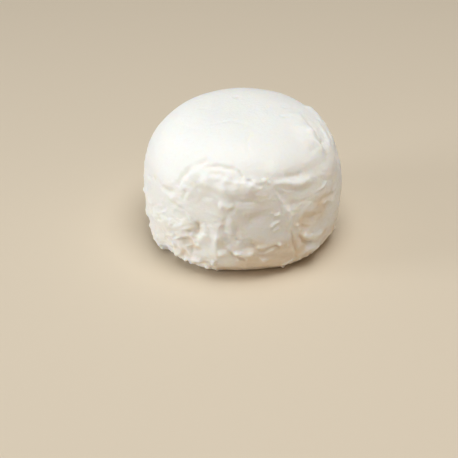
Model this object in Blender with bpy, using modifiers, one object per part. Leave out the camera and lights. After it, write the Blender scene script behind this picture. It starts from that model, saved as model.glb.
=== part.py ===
"""Robiola: a whole, soft, fresh white cheese in one piece, standing on its flat foot.

The body is a turned profile: a flat foot, a rounded heel, a belly low on the side, a wide soft
shoulder and a slightly domed top. Folds, smears and hollows, as cloth and wrapping paper leave
them in soft curd, are then raised on that skin or pressed into it.

A place on the skin is an azimuth in degrees, 0 at the front (-Y) and growing towards +X, and a
climb in millimetres, measured up along the skin from the edge of the foot.
"""

import math
from collections import namedtuple

import bmesh
import bpy
import numpy as np

MM = 0.001

# Driving sizes, in metres.
DIAMETER = 105.0 * MM
HEIGHT = 73.5 * MM
BELLY_HEIGHT = 28.0 * MM  # height of the widest ring
FOOT_RADIUS = 38.0 * MM  # radius of the flat that the cheese rests on
CROWN_POWER = 3.1  # above the belly: 2 would be an ellipse, more is squarer
HEEL_POWER = 2.4  # the same below the belly

# Fineness of the solid.
SECTORS = 128  # round the axis
SIDE_CLIMB = 78.0 * MM  # up to here, past the shoulder, the rings lie close together
SIDE_RINGS = 35
TOP_RINGS = 9
PROFILE_SAMPLES = 1000
PATH_SAMPLES = 24
MERGE_DISTANCE = 0.00001
ANGLE_MARGIN = 1e-6  # radians, for telling the foot's own ring from the skin above it

# How a fold is shaped.
CREST_POWER = 1.5  # cross-section: 1 is a sharp crest, 2 a round one
FOOT_MARGIN = 4.0 * MM  # the relief fades out over this much skin above the foot
LEAST_FLOOR_GAP = 0.2 * MM  # nothing above the foot's edge comes nearer to the floor

# What the unseen sides and the foot get, drawn at random.
SEED = 7
FRONT_HALF = 62.0  # the front's own folds reach this far either side, so crags stay clear
WRINKLED_AZIMUTHS = (68.0, 288.0)  # from the right, round the back, to the left
CLEAR_AZIMUTH = 96.0  # the right side is left free of wrinkles up to here
WRINKLE_COUNT = 46
WRINKLE_CLIMBS = (14.0, 56.0)  # all the lengths from here to the crags are in mm
WRINKLE_LEAN = 70.0  # degrees either side of level
WRINKLE_HALF_LENGTHS = (5.0, 12.0)
WRINKLE_BEND = 3.0
WRINKLE_RISES = (0.6, 1.4)
WRINKLE_LEFTS = (3.0, 5.0)
WRINKLE_RIGHTS = (3.0, 6.0)
CRAG_COUNT = 34
CRAG_STRAY = 0.4  # of the step between two crags
CRAG_CLIMBS = (6.0, 13.0)
CRAG_HALF_TURNS = (1.0, 4.0)  # degrees
CRAG_SLANT = 1.5
CRAG_RISES = (-0.9, 1.3)
CRAG_WIDTH = 3.5

CURD_COLOUR = (0.90, 0.885, 0.83, 1.0)
CURD_ROUGHNESS = 0.5

# places are (azimuth, climb in mm). rise, left and right are in mm: a negative rise is a groove or
# a hollow, left and right are the widths on either side as one walks along the path. ends is the
# share of the length over which the fold rises at each end, and 0 gives it round ends.
Fold = namedtuple("Fold", "places rise left right ends", defaults=(0.25,))


def lump(azimuth, climb, rise, radius):
    """A round bump, or a pit where rise is negative."""
    return Fold([(azimuth - 0.5, climb), (azimuth + 0.5, climb)], rise, radius, radius, 0)


# Wide, shallow departures from the turned shape.
SLUMPS = [
    lump(112, 74, -0.6, 30),
    lump(-115, 74, -0.6, 30),
    lump(10, 42, -1.2, 24),
    lump(-45, 44, 0.6, 22),
    lump(180, 64, 0.7, 30),
    lump(150, 38, -1.2, 26),
    lump(-150, 36, 0.7, 24),
    lump(88, 38, 0.8, 13),
    lump(86, 57, -1.6, 10),
    Fold([(95, 69), (106, 75), (122, 79)], 1.3, 7, 7),
    Fold([(-82, 11), (-70, 11), (-57, 12)], 2.7, 10, 12),
    Fold([(-50, 14), (-38, 15)], 0.9, 10, 10),
    Fold([(62, 15), (76, 15), (90, 16)], 0.9, 10, 11),
    Fold([(-18, 10), (5, 9), (26, 10)], -1.3, 9, 9),
]

# Where the smooth top sheet was drawn over the shoulder and tore.
SHOULDER_FOLDS = [
    # The arch at the left: the sheet's edge, and the band of curd that it frames.
    Fold([(-43, 55.5), (-40, 61), (-38.5, 63.5), (-34, 69.3), (-27, 74.3), (-22, 76)],
         -0.9, 3.6, 3, 0.2),
    Fold([(-28, 70.5), (-19.5, 73), (-11, 72.8), (-3, 70.8)], -0.9, 3, 3, 0.15),
    Fold([(-30, 60), (-24, 64.4), (-14, 62.8), (-3, 61.4), (8, 63.2), (14, 65)], 1.3, 9.5, 8),
    Fold([(-31.5, 57.5), (-25, 62.6), (-15, 61.3), (-5, 60.4)], -0.3, 3, 3),
    Fold([(-36.5, 57.3), (-36, 53.5), (-37, 49.5)], -0.8, 3, 3),
    lump(-23, 54, -1.0, 12),
    # The torn lip at the right: the sheet turns down, ends in a bead, and hangs over a hollow.
    Fold([(12, 66), (21, 68.8), (31, 70), (44, 69.5), (57, 67.5)], 0.55, 12, 6),
    Fold([(25, 66.7), (36, 65), (46, 64), (56, 62), (66, 60)], -0.8, 6.5, 3, 0.3),
    Fold([(16.5, 64.4), (27, 63.1), (37, 60.7), (45, 61.8)], 1.2, 3.2, 5, 0.15),
    Fold([(12, 60.8), (22, 59.5), (39, 56.8), (60, 56)], -0.7, 6, 16, 0.25),
    # The ridge that climbs the right shoulder, with a pressed band and a thin ridge outside it.
    Fold([(64.5, 64), (62, 72), (63.5, 76.5), (67.5, 81), (74, 84.7), (83, 88), (94, 88.5)],
         2.3, 11, 8, 0.4),
    Fold([(67.5, 67), (71.5, 75.5), (80, 82.7), (89.5, 85), (106, 85.5)], -0.6, 4, 7),
    Fold([(74.5, 66.5), (79.5, 71.5), (87, 75.7), (100, 78.5)], 0.9, 3, 3),
    Fold([(83, 64), (92, 70), (98, 72.3), (108, 75)], -1.1, 3, 4),
    # The sheet's edge at the left, and the valley beneath it.
    Fold([(-94, 60), (-76, 58), (-66, 56.5), (-58, 56.3), (-50, 57), (-43, 60.5)], 0.25, 9, 5),
    Fold([(-70, 54), (-57, 53.2), (-52, 52.8), (-47, 53.5), (-40.5, 57.5)], -0.6, 3.6, 3, 0.4),
    # The same edge round the back, lower and rounder.
    Fold([(112, 62), (128, 59), (145, 63), (163, 60), (180, 62)], 1.2, 9, 3),
    Fold([(176, 63), (196, 59), (214, 62), (232, 58), (262, 62)], 1.3, 9, 3),
]

# The front, below the lip.
FRONT_FOLDS = [
    # The shallow trough and the crease under the lip, and the pads round them.
    Fold([(-9, 57.2), (-2, 57), (5, 57), (11, 57)], -0.4, 3.2, 3.4),
    lump(-11.3, 53.2, 0.9, 5.2),
    Fold([(-7, 51.8), (0, 51.6), (9, 51.8)], 0.5, 5, 5),
    # The valley that slants down to the left, and the wide facet beyond it.
    Fold([(14, 50), (9, 47.5), (5, 45), (2, 42), (-0.5, 38.5)], -0.75, 6.5, 6, 0.4),
    lump(11, 38, 0.5, 10),
    # The upright folds left of the middle, and the broad bump beside them.
    Fold([(-3.6, 44), (-4, 34), (-5, 29.5)], -0.35, 3, 3.4, 0.35),
    Fold([(-6.8, 50), (-6.8, 44), (-8, 31)], 0.35, 3, 3.4, 0.35),
    Fold([(-10, 50), (-11, 41), (-12, 37)], -0.4, 3, 3, 0.35),
    Fold([(-14.3, 42), (-15, 36), (-15.4, 24), (-15.4, 17)], 1.9, 5.5, 6, 0.35),
    Fold([(-20.5, 38.5), (-16, 41), (-11, 42.5)], 0.4, 3, 4, 0.25),
    Fold([(-20.5, 38), (-22.8, 34), (-26.8, 26)], 1.1, 3, 3.4, 0.3),
    # The pocket and the fold that close the facet below.
    lump(3, 30.6, -0.9, 4),
    Fold([(-2.5, 29), (7, 27.5), (14, 26.2), (22, 26.3)], -0.7, 3, 3),
    # The ridge that closes the facet on the right, and the crease below it.
    Fold([(24.5, 51.5), (26.2, 46), (27, 40.5), (27, 34.5)], 1.2, 3, 3, 0.25),
    Fold([(28.5, 36), (31, 26), (35, 13)], -0.9, 3, 3, 0.2),
    # The pockets on the right, the forked fold below them and the bulge at the bottom.
    lump(30, 51, -0.6, 4.6),
    Fold([(33, 42.5), (38.5, 39.5), (46, 37.4)], -1.3, 5, 5, 0.3),
    Fold([(33.6, 38), (36, 35.2), (42, 33.8)], -0.6, 3, 3, 0.2),
    Fold([(35.5, 31.2), (43, 27.2), (49, 25.6), (57, 25.3)], 1.3, 3, 3, 0.2),
    Fold([(33, 33), (37, 27), (42.5, 23.9), (49, 22.3)], -1.1, 3, 3),
    Fold([(36.5, 21), (42, 19.5), (49, 17.2), (57, 14)], 1.9, 3.6, 5),
    # The slanting ridge under the right end of the lip, and what lies below it.
    Fold([(44, 49), (50.5, 52), (57, 54), (61, 54.5)], 1.0, 3, 3, 0.3),
    Fold([(49, 46.7), (61.5, 44.6), (70, 42)], -0.7, 3, 3),
    Fold([(44, 46), (50, 44), (58, 42), (68, 38)], 0.5, 3, 4),
    Fold([(66, 30), (74, 28), (83, 29)], -0.6, 3, 3),
]

# The left of the front: a soft bulge, with a pit and two pockets beside it.
LEFT_FOLDS = [
    Fold([(-70, 27), (-57, 30.5), (-46, 33.5), (-36, 35.5), (-28, 36.5)], 1.6, 9, 8),
    lump(-43.5, 50.2, 0.7, 3.2),
    Fold([(-47, 48.4), (-38.5, 47), (-35, 46.3)], -0.6, 3, 3),
    lump(-57, 33.5, 0.6, 4),
    lump(-66, 31, 0.8, 4.5),
    Fold([(-66, 27.3), (-60.5, 26.3), (-54, 24.8), (-47, 20.8)], -0.8, 3, 3, 0.2),
    Fold([(-26.5, 39.5), (-26, 36.7), (-26.4, 33.6)], -1.2, 4.6, 3.2, 0),
    Fold([(-46.5, 23.5), (-38.5, 29.2), (-31.5, 31.8), (-27, 32)], 1.0, 3, 3, 0.2),
    Fold([(-35.5, 26.2), (-31.5, 27)], -1.9, 4, 4.4, 0),
    Fold([(-31, 21.8), (-25, 23.6)], -1.7, 3.8, 3.8, 0),
    Fold([(-39.5, 24), (-38, 17)], 0.8, 3, 3),
    Fold([(-84, 43), (-76, 41), (-69, 39)], -0.6, 3, 3),
    Fold([(-84, 50), (-76, 49), (-69, 47)], 0.5, 3, 3),
]

# The lowest part of the front, where curd was squeezed out and torn.
FOOT_FOLDS = [
    lump(-44, 20.6, 0.8, 3),
    Fold([(-50, 15.8), (-45, 17.4), (-42, 18.6)], -1.5, 3.4, 3.4, 0),
    Fold([(-46, 13), (-46, 9.5)], 1.0, 3, 3, 0),
    Fold([(-41, 11), (-35, 13.5), (-30, 15), (-22.5, 17)], 1.6, 3, 3, 0.15),
    lump(-37, 18, -1.3, 3.2),
    lump(-13, 24.3, 1.2, 3.8),
    Fold([(-17, 19.5), (-18, 13.5)], 1.0, 3, 3, 0.1),
    Fold([(-4.3, 25), (0, 24.7), (4.6, 25)], 1.5, 3, 3.2, 0),
    Fold([(-9, 27.5), (-6, 23.8), (-2, 22.2), (3, 20.3)], -0.8, 3, 3, 0.15),
    Fold([(8, 19.5), (16, 20.5), (24, 17.5), (30, 15.5)], 0.8, 3, 3),
    lump(26.5, 14, 1.3, 3.2),
    lump(6, 16, -0.7, 4),
    lump(35, 15, -0.9, 3),
    lump(57, 16, -0.8, 3.5),
]


def main():
    clear_scene()
    parts = bpy.data.collections.new("robiola")
    bpy.context.scene.collection.children.link(parts)
    cheese = turned_body("cheese", parts)
    raise_folds(cheese.data)
    cheese.data.materials.append(curd_material())
    cheese.data.shade_smooth()


def clear_scene():
    for thing in list(bpy.data.objects):
        bpy.data.objects.remove(thing, do_unlink=True)


def skin_profile():
    """Climb, radius and height along the skin, from the edge of the foot to the middle of the top.

    Below the belly the outline is a quarter of a superellipse round the foot's edge, and above it
    a quarter of a superellipse round the axis.
    """
    quarter = np.linspace(0.0, math.pi / 2, PROFILE_SAMPLES)
    reach = DIAMETER / 2 - FOOT_RADIUS
    heel_radius = FOOT_RADIUS + reach * np.sin(quarter) ** (2 / HEEL_POWER)
    heel_height = BELLY_HEIGHT * (1 - np.cos(quarter) ** (2 / HEEL_POWER))
    crown_radius = DIAMETER / 2 * np.cos(quarter).clip(0) ** (2 / CROWN_POWER)
    crown_height = BELLY_HEIGHT + (HEIGHT - BELLY_HEIGHT) * np.sin(quarter) ** (2 / CROWN_POWER)
    radius = np.concatenate([heel_radius, crown_radius[1:]])
    height = np.concatenate([heel_height, crown_height[1:]])
    steps = np.hypot(np.diff(radius), np.diff(height))
    climb = np.concatenate([[0.0], np.cumsum(steps)])
    return climb, radius, height


CLIMB, RADIUS, RISE_OF_SKIN = skin_profile()


def skin_point(azimuth, climb):
    """Where a place lies on the plain turned skin."""
    radius = np.interp(climb, CLIMB, RADIUS)
    turn = np.radians(azimuth)
    height = np.interp(climb, CLIMB, RISE_OF_SKIN)
    return np.stack([radius * np.sin(turn), -radius * np.cos(turn), height], axis=-1)


def skin_normal(azimuth, climb):
    """The outward direction there: the profile's tangent, turned a quarter outwards."""
    run = np.interp(climb, CLIMB, np.gradient(RADIUS, CLIMB))
    lift = np.interp(climb, CLIMB, np.gradient(RISE_OF_SKIN, CLIMB))
    turn = np.radians(azimuth)
    normal = np.stack([lift * np.sin(turn), -lift * np.cos(turn), -run], axis=-1)
    return normal / np.linalg.norm(normal, axis=-1, keepdims=True)


def turned_body(name, collection):
    """The plain body: the profile, from the top's middle down to the foot's, turned by a Screw."""
    side = np.linspace(0.0, SIDE_CLIMB, SIDE_RINGS)
    top = np.linspace(SIDE_CLIMB, CLIMB[-1], TOP_RINGS)[1:]
    climbs = np.concatenate([side, top])[::-1]
    outline = bmesh.new()
    corners = [outline.verts.new((0.0, 0.0, HEIGHT))]
    for climb in climbs[1:]:
        radius = np.interp(climb, CLIMB, RADIUS)
        corners.append(outline.verts.new((radius, 0.0, np.interp(climb, CLIMB, RISE_OF_SKIN))))
    corners.append(outline.verts.new((0.0, 0.0, 0.0)))
    for upper, lower in zip(corners, corners[1:]):
        outline.edges.new((upper, lower))
    mesh = bpy.data.meshes.new(name)
    outline.to_mesh(mesh)
    outline.free()
    body = bpy.data.objects.new(name, mesh)
    collection.objects.link(body)
    turning = body.modifiers.new("turning", "SCREW")
    turning.axis = "Z"
    turning.steps = SECTORS
    turning.render_steps = SECTORS
    turning.use_merge_vertices = True
    turning.merge_threshold = MERGE_DISTANCE
    turned = bpy.data.meshes.new_from_object(
        body.evaluated_get(bpy.context.evaluated_depsgraph_get())
    )
    body.modifiers.clear()
    body.data = turned
    bpy.data.meshes.remove(mesh)
    turned.name = name
    return body


def smooth_path(places):
    """A Catmull-Rom curve through the places, as azimuths and climbs in metres."""
    knots = np.array(places, dtype=float)
    knots[:, 1] *= MM
    knots = np.concatenate([2 * knots[:1] - knots[1:2], knots, 2 * knots[-1:] - knots[-2:-1]])
    along = np.linspace(0.0, len(places) - 1.0, PATH_SAMPLES + 1)
    first = np.minimum(along.astype(int), len(places) - 2)
    share = (along - first)[:, None]
    before, here, there, after = (knots[first + step] for step in range(4))
    curve = 2 * here + (there - before) * share
    curve += (2 * before - 5 * here + 4 * there - after) * share**2
    curve += (3 * here - before - 3 * there + after) * share**3
    return curve.T / 2


def fold_height(points, normals, fold):
    """How far a fold lifts each point: its rise, times its cross-section, times its taper.

    The cross-section is (1 - x ** CREST_POWER) squared, where x is the distance to the path over
    the width on that side.
    """
    path = skin_point(*smooth_path(fold.places))
    starts = path[:-1]
    runs = np.diff(path, axis=0)
    offsets = points[:, None, :] - starts
    share = (offsets * runs).sum(-1) / (runs**2).sum(-1)
    share = share.clip(0.0, 1.0)
    gaps = offsets - share[..., None] * runs
    distances = np.linalg.norm(gaps, axis=-1)
    nearest = distances.argmin(axis=1)
    row = np.arange(len(points))
    leftwards = np.cross(normals, runs[nearest])
    on_left = (gaps[row, nearest] * leftwards).sum(-1) > 0
    width = np.where(on_left, fold.left, fold.right) * MM
    section = (1 - (distances[row, nearest] / width).clip(0, 1) ** CREST_POWER) ** 2
    if fold.ends:
        progress = (nearest + share[row, nearest]) / PATH_SAMPLES
        from_end = (np.minimum(progress, 1 - progress) / fold.ends).clip(0, 1)
        section *= from_end * from_end * (3 - 2 * from_end)
    return fold.rise * MM * section


def wrinkles(draw):
    """Short bent folds and creases, as wrapping leaves, scattered round the unseen sides."""
    made = []
    for _ in range(WRINKLE_COUNT):
        azimuth = draw.uniform(*WRINKLED_AZIMUTHS)
        climb = draw.uniform(*WRINKLE_CLIMBS)
        lean = draw.uniform(-WRINKLE_LEAN, WRINKLE_LEAN)
        half = draw.uniform(*WRINKLE_HALF_LENGTHS)
        across = half * math.cos(math.radians(lean)) / math.radians(DIAMETER / 2 / MM)
        up = half * math.sin(math.radians(lean))
        bend = draw.uniform(-WRINKLE_BEND, WRINKLE_BEND)
        places = [
            (azimuth - across, climb - up),
            (azimuth, climb + bend),
            (azimuth + across, climb + up),
        ]
        rise = draw.uniform(*WRINKLE_RISES) * draw.choice((-1, 1))
        left = draw.uniform(*WRINKLE_LEFTS)
        wrinkle = Fold(places, rise, left, draw.uniform(*WRINKLE_RIGHTS))
        if azimuth > CLEAR_AZIMUTH:
            made.append(wrinkle)
    return made


def crags(draw):
    """Torn bits of curd along the foot, each a short level lump, except at the front."""
    made = []
    for index in range(CRAG_COUNT):
        azimuth = (index + draw.uniform(-CRAG_STRAY, CRAG_STRAY)) * 360 / CRAG_COUNT
        climb = draw.uniform(*CRAG_CLIMBS)
        half = draw.uniform(*CRAG_HALF_TURNS)
        end_climb = climb + draw.uniform(-CRAG_SLANT, CRAG_SLANT)
        places = [(azimuth - half, climb), (azimuth + half, end_climb)]
        crag = Fold(places, draw.uniform(*CRAG_RISES), CRAG_WIDTH, CRAG_WIDTH, 0)
        if FRONT_HALF < azimuth < 360 - FRONT_HALF:
            made.append(crag)
    return made


def raise_folds(mesh):
    """Moves each vertex along the plain skin's outward direction by the sum of the folds there."""
    points = np.empty(3 * len(mesh.vertices), dtype=np.float32)
    mesh.vertices.foreach_get("co", points)
    points = points.reshape(-1, 3).astype(float)
    reach = np.hypot(points[:, 0], points[:, 1])
    azimuth = np.degrees(np.arctan2(points[:, 0], -points[:, 1]))
    # Seen from the middle of the belly's ring, the angle grows all the way up the skin.
    angle = np.arctan2(points[:, 2] - BELLY_HEIGHT, reach)
    climb = np.interp(angle, np.arctan2(RISE_OF_SKIN - BELLY_HEIGHT, RADIUS), CLIMB)
    normals = skin_normal(azimuth, climb)

    draw = np.random.default_rng(SEED)
    folds = SLUMPS + SHOULDER_FOLDS + FRONT_FOLDS + LEFT_FOLDS + FOOT_FOLDS
    folds += wrinkles(draw) + crags(draw)
    heights = sum(fold_height(points, normals, fold) for fold in folds)

    on_foot = angle <= np.arctan2(-BELLY_HEIGHT, FOOT_RADIUS) + ANGLE_MARGIN
    heights *= np.where(on_foot, 0.0, (climb / FOOT_MARGIN).clip(0, 1))
    points += heights[:, None] * normals
    points[:, 2] = np.where(on_foot, 0.0, np.maximum(points[:, 2], LEAST_FLOOR_GAP))
    mesh.vertices.foreach_set("co", points.astype(np.float32).ravel())
    mesh.update()


def curd_material():
    material = bpy.data.materials.new("curd")
    material.use_nodes = True
    shader = material.node_tree.nodes["Principled BSDF"]
    shader.inputs["Base Color"].default_value = CURD_COLOUR
    shader.inputs["Roughness"].default_value = CURD_ROUGHNESS
    shader.inputs["Metallic"].default_value = 0.0
    return material


main()
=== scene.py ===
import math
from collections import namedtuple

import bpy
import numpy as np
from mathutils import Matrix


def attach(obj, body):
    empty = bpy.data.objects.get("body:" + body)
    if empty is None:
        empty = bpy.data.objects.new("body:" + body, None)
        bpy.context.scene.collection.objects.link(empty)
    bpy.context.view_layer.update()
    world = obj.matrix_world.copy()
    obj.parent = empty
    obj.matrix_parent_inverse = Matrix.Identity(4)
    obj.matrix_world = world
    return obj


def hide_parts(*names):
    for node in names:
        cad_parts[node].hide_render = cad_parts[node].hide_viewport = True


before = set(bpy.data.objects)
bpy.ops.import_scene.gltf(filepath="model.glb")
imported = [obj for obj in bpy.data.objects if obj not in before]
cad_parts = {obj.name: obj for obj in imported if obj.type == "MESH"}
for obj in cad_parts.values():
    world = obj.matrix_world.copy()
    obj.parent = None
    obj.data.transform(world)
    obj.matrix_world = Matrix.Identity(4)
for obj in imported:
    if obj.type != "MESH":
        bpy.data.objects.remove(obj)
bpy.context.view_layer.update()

# Robiola: a whole, soft, fresh white cheese. One skin of curd, drawn over a turned form, then
# folded, smeared and torn as cloth and wrapping paper leave it.
#
# A place on the skin is an azimuth in degrees, 0 at the front (-Y) and growing towards +X, and a
# climb in millimetres, measured up along the skin from the edge of the flat foot.

MM = 0.001

# ---------------------------------------------------------------- sizes

# The turned form, as the solid has it.
DIAMETER = 105.0 * MM
HEIGHT = 73.5 * MM
BELLY_HEIGHT = 28.0 * MM  # height of the widest ring
FOOT_RADIUS = 38.0 * MM  # radius of the flat that the cheese rests on
CROWN_POWER = 3.1  # above the belly: 2 would be an ellipse, more is squarer
HEEL_POWER = 2.4  # the same below the belly

# The grid that carries the skin.
SECTORS = 540  # round the axis
HEEL_CLIMB = 6.0 * MM  # up to here the rings are spaced as on the heel
SIDE_CLIMB = 76.0 * MM  # from there up to here, past the shoulder, they lie closest
HEEL_RINGS = 10
SIDE_RINGS = 134
TOP_RINGS = 34
FOOT_RINGS = 4  # under the cheese
PROFILE_SAMPLES = 1000

# How folds are shaped.
PATH_SAMPLES = 28
CREST_POWER = 1.5  # cross-section: 1 is a sharp crest, 2 a round one
FOOT_MARGIN = 4.0 * MM  # the relief fades out over this much skin above the foot
LEAST_FLOOR_GAP = 0.15 * MM  # nothing above the foot's edge comes nearer to the floor

# What the unseen sides and the foot get, drawn at random as in the solid. From here to the crumbs,
# azimuths, turns and leans are in degrees, and climbs and other distances in mm.
SEED = 7
FRONT_HALF = 62.0  # the front's own folds reach this far either side, so crags stay clear
WRINKLED_AZIMUTHS = (68.0, 288.0)  # from the right, round the back, to the left
CLEAR_AZIMUTH = 96.0  # the right side is left free of wrinkles up to here
WRINKLE_COUNT = 46
WRINKLE_CLIMBS = (14.0, 56.0)
WRINKLE_LEAN = 70.0  # either side of level
WRINKLE_HALF_LENGTHS = (5.0, 12.0)
WRINKLE_BEND = 3.0
WRINKLE_RISES = (0.6, 1.4)
WRINKLE_LEFTS = (3.0, 5.0)
WRINKLE_RIGHTS = (3.0, 6.0)
WRINKLE_NARROWING = (0.8, 0.7)  # left and right: they are crisper here than in the solid
CRAG_COUNT = 34
CRAG_STRAY = 0.4  # of the step between two crags
CRAG_CLIMBS = (6.0, 13.0)
CRAG_HALF_TURNS = (1.0, 4.0)
CRAG_SLANT = 1.5
CRAG_RISES = (-0.9, 1.3)
CRAG_WIDTH = 2.8

# The fine relief, drawn from a seed of its own: hair creases, fibres and crumbs.
FINE_SEED = 23
CREASE_COUNT = 120
CREASE_CLIMBS = (9.0, 58.0)
CREASE_LEAN = 60.0
CREASE_HALF_LENGTHS = (2.0, 6.0)
CREASE_BEND = 2.0
CREASE_RISES = (0.15, 0.45)
CREASE_WIDTHS = (1.1, 2.2)
FIBRE_COUNT = 70
FIBRE_AZIMUTHS = (-66.0, -24.0)
FIBRE_CLIMBS = (17.0, 42.0)
FIBRE_LEANS = (35, 35, -50)  # two in three slant one way
FIBRE_STRAY = 16.0  # either side of its lean
FIBRE_HALF_LENGTHS = (2.0, 5.0)
FIBRE_RISES = (0.25, 0.6)
FIBRE_WIDTHS = (0.9, 1.5)
CRUMB_COUNT = 260
CRUMB_CLIMBS = (4.5, 18.0)
CRUMB_RISES = (0.35, 1.3)
CRUMB_SIGNS = (1, 1, -1)  # one in three is a pit
CRUMB_RADII = (1.1, 2.4)
CRUMB_GAP = (-16.0, 27.0)  # the azimuths between which the foot has none

# Unevenness made of noise: a cell is the noise's own spacing in mm.
WANDER = [(9.0, 0.6), (3.6, 0.45), (1.7, 0.22)]  # of the folds' paths: cell and distance in mm
VIGOUR = (4.5, 0.35)  # cell, and by what share a fold's height varies along it
CRUMPLE = [(14.0, 0.35), (7.0, 0.2), (3.8, 0.12), (2.0, 0.09), (1.1, 0.05)]  # cell, height in mm
CRUMPLE_MIDDLE = 0.7  # taken off a crumple, so that it goes in about as much as out
BLEND_CELL = 42.0  # of the noise that says where crumples are sharp ridges
FLATTENING = 1.5  # crumples are this much wider than they are tall
LEAST_CRUMPLE = 0.1  # what share is left where the curd lies smoothest
SHEET_SHARE = 0.12  # of the crumple's height is left on the smooth top sheet
SHEET_MARGIN = 5.0 * MM  # over which it is reached, above the sheet's edge
SHEET_START = 0.3  # how far the change has come at the edge itself
SHEET_RAGGED = (5.0, 1.5)  # how the edge strays: cell and distance in mm
SHEET_WAVE = (16.0, 0.35)  # the top sheet's own soft unevenness: cell and height in mm
PATCH_STEEPNESS = 1.5  # how soon a round patch fades
LATTICE = 16  # corners each way before the noise repeats
BLUR_PASSES = 26  # for telling hollows from crests

# ---------------------------------------------------------------- folds

# places are (azimuth, climb in mm). rise, left and right are in mm: a negative rise is a groove or
# a hollow, left and right are the widths on either side as one walks along the path. ends is the
# share of the length over which the fold rises at each end, and 0 gives it round ends. droop
# slides the crest towards its right, so that it hangs over.
Fold = namedtuple("Fold", "places rise left right ends droop", defaults=(0.25, 0.0))


def lump(azimuth, climb, rise, radius):
    """A round bump, or a pit where rise is negative."""
    return Fold([(azimuth - 0.5, climb), (azimuth + 0.5, climb)], rise, radius, radius, 0)


# The edge of the smooth top sheet, as climbs in mm at azimuths right round.
SHEET_EDGE = [
    (-180, 62), (-150, 60), (-120, 59), (-92, 60), (-76, 57), (-66, 54), (-55, 54),
    (-44, 57), (-38, 62), (-34, 69), (-28, 73), (-20, 73), (-8, 72), (0, 69), (10, 66),
    (21, 64.5), (35, 62.5), (48, 62), (57, 63), (63, 68), (72, 79), (88, 84), (106, 85),
    (122, 76), (140, 67), (160, 63), (180, 62),
]

# Wide, shallow departures from the turned shape.
SLUMPS = [
    lump(112, 74, -0.6, 30),
    lump(-115, 74, -0.6, 30),
    lump(10, 42, -1.2, 24),
    lump(-45, 44, 0.6, 22),
    lump(180, 64, 0.7, 30),
    lump(150, 38, -1.2, 26),
    lump(-150, 36, 0.7, 24),
    lump(88, 38, 0.8, 13),
    lump(86, 57, -1.6, 10),
    Fold([(95, 69), (106, 75), (122, 79)], 1.3, 7, 7),
    Fold([(-82, 11), (-70, 11), (-57, 12)], 2.7, 10, 12),
    Fold([(-50, 14), (-38, 15)], 0.9, 10, 10),
    Fold([(62, 15), (76, 15), (90, 16)], 0.9, 10, 11),
    Fold([(-18, 10), (5, 9), (26, 10)], -1.3, 9, 9),
]

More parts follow.
